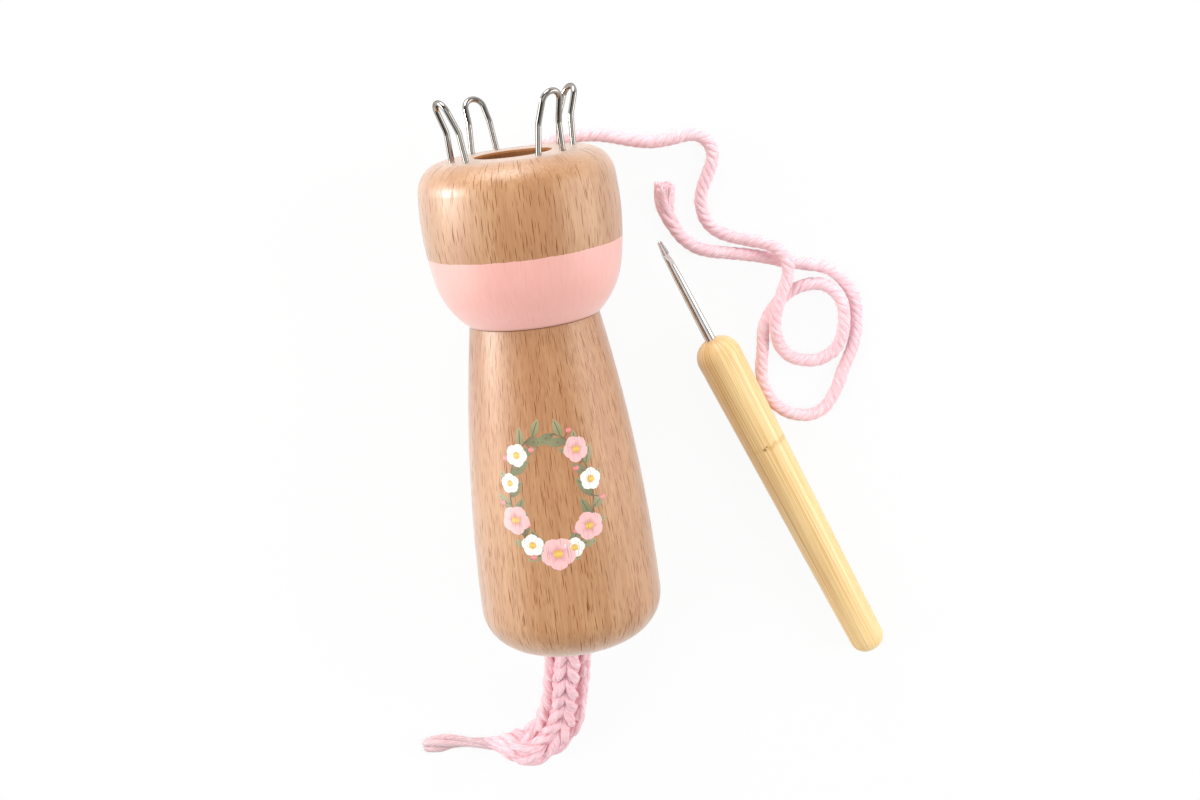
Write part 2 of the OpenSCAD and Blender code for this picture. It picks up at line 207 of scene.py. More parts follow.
class Soft:
    """Collects tubes and fibres into one mesh. Its UV is the length in millimetres and the turn."""

    def __init__(self):
        self.points = []
        self.faces = []
        self.uvs = []
        self.count = 0

    def add(self, points, faces, uvs):
        self.points.append(points)
        self.faces.extend([[self.count + i for i in face] for face in faces])
        self.uvs.extend(uvs)
        self.count += len(points)

    def tube(self, line, radius, sides, first=FIRST_SIDE):
        """A closed tube along a line, its radius one number or one per point."""
        radius = np.broadcast_to(np.asarray(radius, float), len(line)).copy()
        radius[[0, -1]] *= 0.4
        radius[[1, -2]] *= 0.85
        _, side, other = frames(line, first)
        turn = np.arange(sides) * 2 * math.pi / sides
        ring = np.cos(turn)[None, :, None] * side[:, None] + np.sin(turn)[None, :, None] * other[:, None]
        points = (line[:, None, :3] + radius[:, None, None] * ring).reshape(-1, 3)
        along = lengths(line) / MM
        faces = []
        uvs = []
        for i in range(len(line) - 1):
            for k in range(sides):
                n = (k + 1) % sides
                faces.append((i * sides + k, i * sides + n, (i + 1) * sides + n, (i + 1) * sides + k))
                low, high = k / sides, (k + 1) / sides
                uvs.extend([(along[i], low), (along[i], high), (along[i + 1], high), (along[i + 1], low)])
        faces.append(tuple(range(sides - 1, -1, -1)))
        faces.append(tuple((len(line) - 1) * sides + k for k in range(sides)))
        uvs.extend([(along[0], k / sides) for k in range(sides - 1, -1, -1)])
        uvs.extend([(along[-1], k / sides) for k in range(sides)])
        self.add(points, faces, uvs)

    def strand(self, line, radius, plies, twist, rng, sides=8, floor=True, ply=0.6):
        """Twisted plies along a line. twist is the length of a turn, ply a ply's share of the radius."""
        radius = np.broadcast_to(np.asarray(radius, float), len(line))
        twist = np.broadcast_to(np.asarray(twist, float), len(line))
        _, side, other = frames(line, FIRST_SIDE)
        turns = np.concatenate([[0], np.cumsum(np.diff(lengths(line)) / twist[1:])])
        for k in range(plies):
            turn = 2 * math.pi * (k / plies + turns) + wander(len(line), 30, 0.12, rng)
            away = np.cos(turn)[:, None] * side + np.sin(turn)[:, None] * other
            thick = radius * (ply + wander(len(line), 24, 0.012, rng))
            centre = line[:, :3] + (radius - thick)[:, None] * away
            if floor:
                centre[:, 2] = np.maximum(centre[:, 2], TABLE_Z + thick)
            self.tube(centre, thick, sides, first=away[0])

    def fuzz(self, line, radius, count, rng, long=1.6):
        """Fine loose fibres that stand off a strand. The longest has that many millimetres."""
        ahead, side, other = frames(line, FIRST_SIDE)
        radius = np.broadcast_to(np.asarray(radius, float), len(line))
        for i in rng.integers(1, len(line) - 1, count):
            turn = rng.uniform(0, 2 * math.pi)
            away = math.cos(turn) * side[i] + math.sin(turn) * other[i]
            lean = away * rng.uniform(0.1, 0.55) + ahead[i] * rng.normal(0, 0.8)
            lean = unit(lean + rng.normal(0, 0.25, 3))
            size = rng.uniform(0.5, 1) * long * MM
            t = np.linspace(0, 1, len(FIBRE_RADII))[:, None]
            fibre = line[i, :3] + away * radius[i] * 0.95 + lean * size * t
            fibre = fibre + unit(rng.normal(0, 1, 3)) * size * 0.3 * t**2
            fibre[:, 2] = np.maximum(fibre[:, 2], TABLE_Z + FIBRE_CLEAR)
            self.tube(fibre, FIBRE_RADII, 3)

    def brush(self, line, radius, count, rng, wide=0.86, dome=4):
        """Loose threads that fill a strand's open end. The outer ones are up to dome steps shorter."""
        _, side, other = frames(line, FIRST_SIDE)
        for k in range(count):
            turn = THREAD_TURN * k
            spread = np.linspace(0.5, wide, len(line))[:, None] * radius * math.sqrt((k + 0.5) / count)
            wisp = line + spread * (math.cos(turn) * side + math.sin(turn) * other)
            wisp[:, 2] = np.maximum(wisp[:, 2], TABLE_Z + THREAD_RADIUS)
            cut = dome * k // count + int(rng.integers(0, 2))
            self.tube(wisp[: len(wisp) - cut], THREAD_RADIUS, 6)

    def piece(self, name, material):
        """The mesh as an object of that name."""
        mesh = bpy.data.meshes.new(name)
        mesh.from_pydata(np.vstack(self.points).tolist(), [], self.faces)
        layer = mesh.uv_layers.new(name="strand")
        layer.data.foreach_set("uv", np.array(self.uvs, np.float32).ravel())
        mesh.shade_smooth()
        mesh.materials.append(material)
        obj = bpy.data.objects.new(name, mesh)
        scene.collection.objects.link(obj)
        return obj


# Materials


def add(tree, kind, inputs=None, **settings):
    """A node with its settings and inputs. An input is a value or another node's output."""
    node = tree.nodes.new(kind)
    for key, value in settings.items():
        setattr(node, key, value)
    for key, value in (inputs or {}).items():
        if isinstance(value, bpy.types.NodeSocket):
            tree.links.new(value, node.inputs[key])
        else:
            node.inputs[key].default_value = value
    return node


def material(name, values):
    """A material with one principled shader, its uniform values set on the shader."""
    made = bpy.data.materials.new(name)
    made.use_nodes = True
    shader = made.node_tree.nodes["Principled BSDF"]
    for key, value in values.items():
        shader.inputs[key].default_value = value
    return made, made.node_tree, shader


def math_node(tree, operation, a, b=0.0):
    return add(tree, "ShaderNodeMath", {0: a, 1: b}, operation=operation).outputs[0]


def remap(tree, value, low, high, to_low=0.0, to_high=1.0):
    """The value eased from one range to another."""
    wanted = {"Value": value, "From Min": low, "From Max": high, "To Min": to_low, "To Max": to_high}
    return add(tree, "ShaderNodeMapRange", wanted, interpolation_type="SMOOTHSTEP").outputs[0]


def blend(tree, share, a, b, kind="MIX"):
    """Colour a turned into colour b by that share."""
    wanted = {0: share, 6: a, 7: b}
    return add(tree, "ShaderNodeMix", wanted, data_type="RGBA", blend_type=kind).outputs[2]


def stretch(tree, place, x, y, z):
    """The place scaled along each direction."""
    wanted = {"Vector": place, "Scale": (x, y, z)}
    return add(tree, "ShaderNodeMapping", wanted).outputs[0]


def noise(tree, place, detail=3.0, rough=0.55):
    wanted = {"Vector": place, "Scale": 1.0, "Detail": detail, "Roughness": rough}
    return add(tree, "ShaderNodeTexNoise", wanted).outputs[0]


def bump(tree, height, distance, strength=1.0):
    wanted = {"Height": height, "Distance": distance, "Strength": strength}
    return add(tree, "ShaderNodeBump", wanted).outputs[0]


def doll_place(tree):
    """Millimetres in the doll's own directions: side, along the axis, front."""
    coords = add(tree, "ShaderNodeTexCoord").outputs["Object"]
    wanted = {"Vector": coords, "Rotation": (-DOLL_LEAN, 0, 0), "Scale": (1000, 1000, 1000)}
    return add(tree, "ShaderNodeMapping", wanted).outputs[0]


def turned_place(tree, place):
    """The place moved to one radius, so that pores follow a turned side. Flat ends keep their own."""
    side, along, front = add(tree, "ShaderNodeSeparateXYZ", {0: place}).outputs
    spoke = add(tree, "ShaderNodeCombineXYZ", {0: side, 2: front}).outputs[0]
    spoke = add(tree, "ShaderNodeVectorMath", {0: spoke}, operation="NORMALIZE").outputs[0]
    spoke = stretch(tree, spoke, PORE_RADIUS, PORE_RADIUS, PORE_RADIUS)
    turn_side, _, turn_front = add(tree, "ShaderNodeSeparateXYZ", {0: spoke}).outputs
    turned = add(tree, "ShaderNodeCombineXYZ", {0: turn_side, 1: along, 2: turn_front}).outputs[0]
    above = math_node(tree, "GREATER_THAN", along, TOP_FACE / MM - FLAT_MARGIN)
    below = math_node(tree, "LESS_THAN", along, FLAT_MARGIN)
    flat = math_node(tree, "MAXIMUM", above, below)
    return add(tree, "ShaderNodeMix", {0: flat, 4: turned, 5: place}, data_type="VECTOR").outputs[1]


def pores(tree, place, wide, tall, reach):
    """Short dark dashes along the grain: 1 in a pore, 0 outside."""
    cells = stretch(tree, place, 1 / wide, 1 / tall, 1 / wide)
    wobble = noise(tree, stretch(tree, place, 0.9, 0.12, 0.9), 2)
    near = add(tree, "ShaderNodeTexVoronoi", {"Vector": cells, "Scale": 1.0, "Randomness": 1.0})
    limit = remap(tree, wobble, 0.3, 0.7, reach * 0.75, reach * 1.15)
    inner = math_node(tree, "MULTIPLY", limit, 0.55)
    wanted = {"Value": near.outputs["Distance"], "From Min": limit, "From Max": inner}
    return add(tree, "ShaderNodeMapRange", wanted, interpolation_type="SMOOTHSTEP").outputs[0]


def grain(tree, place, base, light, dark, pore):
    """Beech with broad tones, fibre and pores. Returns its colour, a height for bump, pores and fibre."""
    broad = noise(tree, stretch(tree, place, 0.16, 0.016, 0.16), 3)
    fibre = noise(tree, stretch(tree, place, 2.1, 0.07, 2.1), 5, 0.62)
    fleck = noise(tree, stretch(tree, place, 0.7, 0.1, 0.7), 3, 0.6)
    colour = blend(tree, remap(tree, broad, 0.34, 0.66), light, base)
    colour = blend(tree, remap(tree, fibre, 0.41, 0.64, 0, 0.6), colour, dark)
    colour = blend(tree, remap(tree, fleck, 0.5, 0.75, 0, 0.25), colour, light)
    turned = turned_place(tree, place)
    long_pores = pores(tree, turned, 0.34, 9.5, 0.27)
    short_pores = pores(tree, turned, 0.28, 6, 0.25)
    both = math_node(tree, "MAXIMUM", long_pores, math_node(tree, "MULTIPLY", short_pores, 0.8))
    colour = blend(tree, math_node(tree, "MULTIPLY", both, 0.9), colour, pore)
    height = math_node(tree, "SUBTRACT", math_node(tree, "MULTIPLY", fibre, 0.25), both)
    return colour, height, both, fibre


def beech(name, base, light, dark, pore, coat):
    """Varnished beech. coat has the tones of the painted band, or is None for bare wood."""
    made, tree, shader = material(name, VARNISH)
    place = doll_place(tree)
    colour, height, pits, fibre = grain(tree, place, base, light, dark, pore)
    side, along, front = add(tree, "ShaderNodeSeparateXYZ", {0: place}).outputs
    side_squared = math_node(tree, "MULTIPLY", side, side)
    front_squared = math_node(tree, "MULTIPLY", front, front)
    squares = math_node(tree, "ADD", side_squared, front_squared)
    in_bore = math_node(tree, "LESS_THAN", squares, BORE_REACH**2)
    colour = blend(tree, math_node(tree, "MULTIPLY", in_bore, 0.62), colour, RAW_BORE)
    open_pores = math_node(tree, "MULTIPLY", pits, 0.85)
    if coat:
        outside = math_node(tree, "GREATER_THAN", squares, SOCKET_REACH**2)
        uneven = noise(tree, stretch(tree, place, 0.5, 0.5, 0.5), 3)
        edge = math_node(tree, "ADD", along, remap(tree, uneven, 0.3, 0.7, -0.09, 0.09))
        below = remap(tree, edge, PAINT_EDGE / MM + 0.07, PAINT_EDGE / MM - 0.07)
        painted = math_node(tree, "MULTIPLY", outside, below)
        brushed = noise(tree, stretch(tree, place, 0.9, 0.12, 0.9), 4, 0.6)
        tint = blend(tree, remap(tree, brushed, 0.35, 0.7, 0, 0.35), coat[0], coat[1])
        tint = blend(tree, math_node(tree, "MULTIPLY", pits, 0.22), tint, coat[2])
        colour = blend(tree, painted, colour, tint)
        height = math_node(tree, "MULTIPLY", height, remap(tree, painted, 0, 1, 1, 0.3))
        height = math_node(tree, "ADD", height, math_node(tree, "MULTIPLY", painted, 0.8))
        open_pores = math_node(tree, "MULTIPLY", open_pores, remap(tree, painted, 0, 1, 1, 0.1))
    else:
        # Painted shade: the bare trunk darkens towards its neck, under the head.
        colour = blend(tree, remap(tree, along, *NECK_SHADE_SPAN), colour, NECK_PAINTED_SHADE, "MULTIPLY")
    dull = math_node(tree, "MAXIMUM", in_bore, open_pores)
    for gloss in ("Coat Weight", "Sheen Weight", "Specular IOR Level"):
        tree.links.new(remap(tree, dull, 0, 1, VARNISH[gloss], 0), shader.inputs[gloss])
    seam = math_node(tree, "ABSOLUTE", math_node(tree, "SUBTRACT", along, NECK / MM))
    shade = remap(tree, seam, 0.12, 0.6, 0.4, 0)
    colour = blend(tree, shade, colour, SEAM_SHADE)
    tree.links.new(colour, shader.inputs["Base Color"])
    rough = remap(tree, fibre, 0.3, 0.7, 0.36, 0.46)
    tree.links.new(rough, shader.inputs["Roughness"])
    tree.links.new(bump(tree, height, 0.02 * MM, 0.3), shader.inputs["Normal"])
    return made


def metal(name, base, rough, scratch):
    """Bright metal with fine draw marks."""
    made, tree, shader = material(name, {"Metallic": 1.0, "Specular Tint": (0.25, 0.23, 0.21, 1)})
    coords = add(tree, "ShaderNodeTexCoord").outputs["Object"]
    marks = noise(tree, stretch(tree, coords, 2600, 500, 2600), 4, 0.6)
    cloud = noise(tree, stretch(tree, coords, 300, 300, 300), 2)
    colour = blend(tree, remap(tree, cloud, 0.35, 0.65, 0, 0.3), base, METAL_CLOUD)
    tree.links.new(colour, shader.inputs["Base Color"])
    tree.links.new(remap(tree, marks, 0.3, 0.7, rough, rough + 0.1), shader.inputs["Roughness"])
    tree.links.new(bump(tree, marks, scratch, 0.5), shader.inputs["Normal"])
    return made


def bamboo(name):
    """Bamboo with fine lines along the stick and one joint across it."""
    made, tree, shader = material(name, {"Coat Weight": 0.3, "Coat Roughness": 0.3})
    coords = add(tree, "ShaderNodeTexCoord").outputs["Object"]
    moved = add(tree, "ShaderNodeVectorMath", {0: coords, 1: HOOK_REAR}, operation="SUBTRACT").outputs[0]
    wanted = {"Vector": moved, "Rotation": (0, 0, -HOOK_HEADING), "Scale": (1000, 1000, 1000)}
    flat_place = add(tree, "ShaderNodeMapping", wanted).outputs[0]
    place = add(tree, "ShaderNodeMapping", {"Vector": flat_place, "Rotation": (0, HOOK_RISE, 0)}).outputs[0]
    along, left, up = add(tree, "ShaderNodeSeparateXYZ", {0: place}).outputs
    spoke = add(tree, "ShaderNodeCombineXYZ", {1: left, 2: up}).outputs[0]
    spoke = add(tree, "ShaderNodeVectorMath", {0: spoke}, operation="NORMALIZE").outputs[0]
    _, turn_left, turn_up = add(tree, "ShaderNodeSeparateXYZ", {0: spoke}).outputs
    rounded = add(tree, "ShaderNodeCombineXYZ", {0: along, 1: turn_left, 2: turn_up}).outputs[0]
    tones = noise(tree, stretch(tree, place, 0.03, 0.35, 0.35), 3)
    lines = noise(tree, stretch(tree, rounded, 0.013, 25, 25), 3, 0.6)
    fine = noise(tree, stretch(tree, rounded, 0.025, 42, 42), 2, 0.6)
    colour = blend(tree, remap(tree, tones, 0.3, 0.7), BAMBOO_PALE, BAMBOO_WARM)
    colour = blend(tree, remap(tree, lines, 0.52, 0.62, 0, 0.68), colour, BAMBOO_LINE)
    colour = blend(tree, remap(tree, fine, 0.5, 0.68, 0, 0.55), colour, BAMBOO_FINE)
    colour = blend(tree, remap(tree, fine, 0.46, 0.28, 0, 0.5), colour, BAMBOO_STREAK)
    bend = math_node(tree, "MULTIPLY", noise(tree, stretch(tree, place, 0.2, 0.5, 0.5), 2), 1.6)
    ring = math_node(tree, "ADD", math_node(tree, "SUBTRACT", along, BAMBOO_JOINT + 0.8), bend)
    ring = math_node(tree, "ABSOLUTE", ring)
    shown = math_node(tree, "MULTIPLY", remap(tree, ring, 1.1, 0.1), remap(tree, left, 2, -1, 0.1, 0.45))
    colour = blend(tree, shown, colour, BAMBOO_RING)
    for spot_along, spot_left, size in ((BAMBOO_JOINT, 1.05, 0.5), (BAMBOO_JOINT + 0.5, 0.2, 0.3)):
        spot = (spot_along, spot_left, SPOT_HEIGHT)
        away = add(tree, "ShaderNodeVectorMath", {0: place, 1: spot}, operation="SUBTRACT").outputs[0]
        flat = stretch(tree, away, 1, 1, 0.1)
        far = add(tree, "ShaderNodeVectorMath", {0: flat}, operation="LENGTH").outputs["Value"]
        colour = blend(tree, remap(tree, far, size * 1.25, size * 0.4, 0, 0.8), colour, BAMBOO_SPOT)
    tree.links.new(colour, shader.inputs["Base Color"])
    tree.links.new(remap(tree, lines, 0.3, 0.7, 0.36, 0.5), shader.inputs["Roughness"])
    tree.links.new(bump(tree, fine, 0.04 * MM, 0.5), shader.inputs["Normal"])
    return made


def wool(name, deep, pale):
    """Soft yarn whose fibres run round each ply."""
    values = {
        "Roughness": 0.85, "Specular IOR Level": 0.2,
        "Sheen Weight": 0.25, "Sheen Roughness": 0.45, "Sheen Tint": paint(255, 236, 239),
    }
    made, tree, shader = material(name, values)
    uv = add(tree, "ShaderNodeUVMap", uv_map="strand").outputs[0]
    along, turn, _ = add(tree, "ShaderNodeSeparateXYZ", {0: uv}).outputs
    slant = math_node(tree, "ADD", turn, math_node(tree, "MULTIPLY", along, FIBRE_SLANT))
    wrapped = add(tree, "ShaderNodeCombineXYZ", {0: along, 1: slant}).outputs[0]
    fibre = noise(tree, stretch(tree, wrapped, 0.4, 16, 1), 4, 0.65)
    coords = add(tree, "ShaderNodeTexCoord").outputs["Object"]
    cloud = noise(tree, stretch(tree, coords, 130, 130, 130), 3)
    colour = blend(tree, remap(tree, fibre, 0.38, 0.6), deep, pale)
    colour = blend(tree, remap(tree, cloud, 0.35, 0.7, 0, 0.3), colour, deep)
    tree.links.new(colour, shader.inputs["Base Color"])
    tree.links.new(bump(tree, fibre, 0.08 * MM, 0.55), shader.inputs["Normal"])
    return made


def ink(name):
    """Printed colour that lets the wood's pores and fibre show through."""
    made, tree, shader = material(name, {**VARNISH, "Roughness": 0.42})
    place = doll_place(tree)
    shown = add(tree, "ShaderNodeVertexColor", layer_name="ink").outputs[0]
    wood, height, pits, fibre = grain(tree, place, *TRUNK_TONES)
    colour = blend(tree, math_node(tree, "MULTIPLY", pits, 0.5), shown, wood)
    colour = blend(tree, remap(tree, fibre, 0.5, 0.8, 0, 0.22), colour, wood)
    tree.links.new(colour, shader.inputs["Base Color"])
    tree.links.new(bump(tree, height, 0.02 * MM, 0.5), shader.inputs["Normal"])
    return made


# Wood tones: base, light, dark and pores. Paint tones: base, light and over pores.
HEAD_TONES = (paint(182, 128, 80), paint(197, 148, 101), paint(165, 109, 63), paint(116, 52, 12))
TRUNK_TONES = (paint(186, 131, 82), paint(200, 150, 103), paint(167, 109, 62), paint(116, 52, 12))
PINK_TONES = (paint(240, 174, 163), paint(244, 184, 173), paint(205, 132, 116))
# Painted shade multiplied into the trunk under the head, and the millimetres along it where it comes in.
NECK_PAINTED_SHADE = (0.91, 0.85, 0.78, 1)
NECK_SHADE_SPAN = (36, 78)
SEAM_SHADE = paint(140, 84, 56)
RAW_BORE = paint(136, 82, 47)
# Millimetres within which a face counts as one of the doll's flat ends
FLAT_MARGIN = 0.2
VARNISH = {
    "Specular IOR Level": 0.5, "Coat Weight": 1.0, "Coat Roughness": 0.43,
    "Sheen Weight": 0.46, "Sheen Roughness": 0.5, "Sheen Tint": (1, 0.98, 0.96, 1),
}

# Bamboo: two grounds, broad and fine lines, pale streaks, the joint's ring and its dark spots, which
# lie this many millimetres above the stick's axis.
BAMBOO_PALE = paint(254, 223, 163)
BAMBOO_WARM = paint(249, 211, 147)
BAMBOO_LINE = paint(202, 150, 82)
BAMBOO_FINE = paint(190, 138, 74)
BAMBOO_STREAK = paint(252, 224, 168)
BAMBOO_RING = paint(196, 140, 72)
BAMBOO_SPOT = paint(140, 82, 28)
SPOT_HEIGHT = 5.5

WIRE_TONE = (0.46, 0.428, 0.396, 1)
STEEL_TONE = (0.82, 0.79, 0.765, 1)
METAL_CLOUD = (0.55, 0.51, 0.47, 1)
# Yarn, deep and pale: loose; a deeper copy for the knitting, painted crevice shade; a greyer one at the
# tail, painted shade.
YARN_TONES = (paint(251, 198, 207), paint(255, 231, 236))
KNIT_SHADE_TONES = (paint(246, 186, 195), paint(255, 226, 231))
TAIL_SHADE_TONES = (paint(217, 174, 179), paint(227, 207, 209))
# Turns of a ply's fibres round it for each millimetre along it
FIBRE_SLANT = 0.11

head_wood = beech("painted_beech", *HEAD_TONES, PINK_TONES)
trunk_wood = beech("beech", *TRUNK_TONES, None)
wire = metal("plated_wire", WIRE_TONE, 0.06, 0.006 * MM)
steel = metal("hook_steel", STEEL_TONE, 0.12, 0.003 * MM)
stick = bamboo("bamboo")
yarn = wool("yarn", *YARN_TONES)
# Darker copies of the same yarn: painted crevice shade on the knitting, painted shade on the tail.
shaded_knit_yarn = wool("shaded_knit_yarn", *KNIT_SHADE_TONES)
shaded_tail_yarn = wool("shaded_tail_yarn", *TAIL_SHADE_TONES)

for node, finish in [
    ("head", head_wood),
    ("trunk", trunk_wood),
    *[(f"wire_loop_{k}", wire) for k in range(1, 5)],
    ("hook_handle", stick),
    ("hook_shank", steel),
]:
    nodes[node].data.materials.clear()
    nodes[node].data.materials.append(finish)


# Loose yarn, whose free end is cut flat, untwisted and frayed open

# The frayed end: its length, how much it widens as a share of the yarn, and how much its twist slackens.
FRAY_LONG = 13 * MM
FRAY_WIDE = 0.8
FRAY_UNTWIST = 6
YARN_FIBRES = 1500
TIP_FIBRES = 160
TIP_THREADS = 44

rng = np.random.default_rng(SEED)
pinches = [*YARN_PINCH, *[1] * (len(YARN_ROUTE) - len(YARN_PINCH))]
yarn_points = [
    (x * MM, y * MM, TABLE_Z + lift * MM + pinch * YARN_D / 2, pinch)
    for (x, y, lift), pinch in zip(YARN_ROUTE, pinches)
]
yarn_line = smooth_line(yarn_points, YARN_STEP, 5)
yarn_long = lengths(yarn_line)[-1]
fray = np.clip((lengths(yarn_line) - yarn_long + FRAY_LONG) / FRAY_LONG, 0, 1) ** 1.3 * FRAY_WIDE
yarn_reach = (yarn_line[:, 3] + fray) * YARN_D / 2
yarn_middle = yarn_line[:, :3].copy()
yarn_middle[:, 2] += fray * YARN_D / 2
soft = Soft()
soft.strand(yarn_middle, yarn_reach, YARN_PLIES, YARN_TWIST * (1 + FRAY_UNTWIST * fray), rng)
soft.fuzz(yarn_middle, yarn_reach, YARN_FIBRES, rng)
tip = np.vstack([yarn_middle[-16:], 2 * yarn_middle[-1] - yarn_middle[-2]])
tip = resample(tip, KNIT_STEP)
soft.brush(tip, yarn_reach[-1], TIP_THREADS, rng, wide=0.9, dome=0)
soft.fuzz(tip, yarn_reach[-1] * 0.85, TIP_FIBRES, rng, 0.9)
loose_yarn = soft.piece("loose_yarn", yarn)


# Knitting: one yarn that climbs round the cord, each stitch a loop whose legs stand in a V with its
# point towards the doll

# Shares of the full radius at which the gathering starts, the knitting stops and the bare tail starts.
GATHER_SHARE = 0.88
KNIT_SHARE = 0.66
TAIL_SHARE = 0.36

knit_points = [
    (x * MM, y * MM, TABLE_Z + lift * MM + share * KNIT_D / 2, share) for x, y, lift, share in KNIT_ROUTE
]
knit_line = smooth_line(knit_points, KNIT_STEP, 8)
KNIT_END = int(np.argmax(knit_line[:, 3] < KNIT_SHARE))
TAIL_START = int(np.argmax(knit_line[:, 3] < TAIL_SHARE))

_, knit_side, _ = frames(knit_line, (0, 0, 1))
climb = knit_line[:KNIT_END][::-1]
climb_side = knit_side[:KNIT_END][::-1]
climb_other = np.cross(unit(np.gradient(climb[:, :3], axis=0)), climb_side)
climb_at = lengths(climb)


def round_cord(along, degrees, out, thick):
    """A place beside the cord's middle, with the yarn's radius there."""
    middle = np.array([np.interp(along, climb_at, column) for column in climb.T])
    side = unit(np.array([np.interp(along, climb_at, column) for column in climb_side.T]))
    other = unit(np.array([np.interp(along, climb_at, column) for column in climb_other.T]))
    turn = math.radians(degrees)
    away = math.cos(turn) * side + math.sin(turn) * other
    return (*(middle[:3] + out * middle[3] * MM * away), thick * middle[3] ** 0.4 * MM)


# Half a stitch: rows towards the tail, degrees from the column, and in millimetres the distance from
# the middle and the yarn's radius.
HALF_STITCH = [
    (-0.25, -12, 3.4, 1.0), (0, -5, 4.3, 1.1), (0.3, -11, 5.2, 1.3), (0.7, -23, 5.4, 1.4),
    (1.02, -32, 5.2, 1.35), (1.28, -31, 4.2, 1.1), (1.38, -10, 3.2, 1.0),
]
STITCH = HALF_STITCH + [(row, -degrees, out, thick) for row, degrees, out, thick in HALF_STITCH[::-1]]
# Rows from the gathered end to the first stitch, and the first column's degrees round the cord.
FIRST_ROW = 1.5
FIRST_COLUMN = -5
CORE_RADIUS = 4.5 * MM
KNIT_TWIST = -19 * MM
KNIT_FIBRES = 2100
# Share of the stitches that carry fibres, from the gathered end up into the bore
OPEN_SHARE = 0.6

stitches = int((climb_at[-1] / KNIT_ROW - FIRST_ROW) * KNIT_COLUMNS)
loop_points = []
for i in range(stitches):
    slack = rng.normal(0, 1, 3)
    for row, degrees, out, thick in STITCH:
        along = (FIRST_ROW - row + i / KNIT_COLUMNS + 0.05 * slack[0]) * KNIT_ROW
        turned = FIRST_COLUMN + 360 * i / KNIT_COLUMNS + degrees * (1 + 0.08 * slack[1])
        loop_points.append(round_cord(along, turned, out * (1 + 0.02 * slack[2]), thick))
loop_line = smooth_line(loop_points, LOOP_STEP, 1)
open_loops = loop_line[: int(OPEN_SHARE * len(loop_line))]

soft = Soft()
soft.strand(loop_line, loop_line[:, 3], 3, KNIT_TWIST, rng, sides=7, floor=False, ply=0.64)
core = resample(knit_line[: TAIL_START + 4], 1 * MM)
soft.tube(core, core[:, 3] * CORE_RADIUS, 16)
soft.fuzz(open_loops, open_loops[:, 3], KNIT_FIBRES, rng, 1.5)
knit_stitches = soft.piece("knit_stitches", shaded_knit_yarn)

# The first row drawn together into the tail, and the tail's fluffed end

# Strands of the gathered row, their turn round the cord and their greatest radius.
GATHERS = 6
GATHER_TURN = math.radians(210)
GATHER_RADIUS = 1.5 * MM
GATHER_TWIST = -26 * MM
# Each gathered strand starts this deep and comes up over this share of its length.
GATHER_DEEP = 1.2 * MM
GATHER_RISE = 0.22
GATHER_FIBRES = 20
# The tail's plies, their greatest radius, their turns along it, and the length of its rounded end.
TAIL_PLIES = 4
TAIL_PLY_RADIUS = 1.05 * MM
TAIL_TURNS = 0.4
TAIL_ROUND = 2.4 * MM
# Points of the tail's line that its open end takes up
TAIL_TIP = 18
TAIL_THREADS = 16
# Fibres along each of the tail's plies, and more at its end
TAIL_FIBRES = 70
TAIL_END_FIBRES = 40

gather = resample(knit_line[int(np.argmax(knit_line[:, 3] < GATHER_SHARE)) : TAIL_START + 10], KNIT_STEP)
_, gather_side, gather_other = frames(gather, (0, 0, 1))
gather_reach = gather[:, 3] * KNIT_D / 2
share = np.linspace(0, 1, len(gather))
soft = Soft()
for k in range(GATHERS):
    turn = 2 * math.pi * k / GATHERS + GATHER_TURN * share + wander(len(share), 14, 0.1, rng)
    thick = np.minimum(GATHER_RADIUS, 0.45 * gather_reach)
    deep = np.clip((GATHER_RISE - share) / GATHER_RISE, 0, 1) * GATHER_DEEP
    away = np.cos(turn)[:, None] * gather_side + np.sin(turn)[:, None] * gather_other
    strand = gather[:, :3] + (gather_reach - thick - deep)[:, None] * away
    strand[:, 2] = np.maximum(strand[:, 2], TABLE_Z + thick)
    soft.strand(strand, thick, 3, GATHER_TWIST, rng, ply=0.7)
    soft.fuzz(strand, thick, GATHER_FIBRES, rng)
gathered_end = soft.piece("gathered_end", shaded_knit_yarn)

tail_line = resample(knit_line[KNIT_END:], KNIT_STEP)
_, tail_side, tail_other = frames(tail_line, (0, 0, 1))
tail_reach = tail_line[:, 3] * KNIT_D / 2
near = lengths(tail_line) < lengths(tail_line)[-1] / 2
tail_reach[near] = np.minimum(tail_reach[near], tail_reach.min() * 1.1)
tip_reach = tail_reach[-TAIL_TIP:].max()
rounded = np.clip(1 - (lengths(tail_line)[-1] - lengths(tail_line)) / TAIL_ROUND, 0, 0.9)
tail_reach = tail_reach * np.sqrt(1 - rounded**2)
share = np.linspace(0, 1, len(tail_line))
soft = Soft()
for k in range(TAIL_PLIES):
    turn = 2 * math.pi * (k / TAIL_PLIES + TAIL_TURNS * share) + wander(len(share), 14, 0.25, rng)
    thick = np.minimum(tail_reach * 0.47, TAIL_PLY_RADIUS)
    away = np.cos(turn)[:, None] * tail_side + np.sin(turn)[:, None] * tail_other
    ply = tail_line[:, :3] + (tail_reach - thick)[:, None] * away
    ply[:, 2] = np.maximum(ply[:, 2], TABLE_Z + thick)
    end = len(ply) - int(rng.integers(0, 4))
    soft.tube(ply[:end], thick[:end], 8, first=away[0])
    soft.fuzz(ply[:end], thick[:end], TAIL_FIBRES, rng, 1.5)
    soft.fuzz(ply[end - 6 : end], thick[end - 6 : end], TAIL_END_FIBRES, rng, 1.6)
tail_tip = tail_line[-TAIL_TIP:-2, :3].copy()
soft.brush(tail_tip, tip_reach, TAIL_THREADS, rng)
# The tail's yarn is a darker, greyer copy: painted shade.
cast_on_tail = soft.piece("cast_on_tail", shaded_tail_yarn)


# Flowers printed on the trunk: a plain wreath

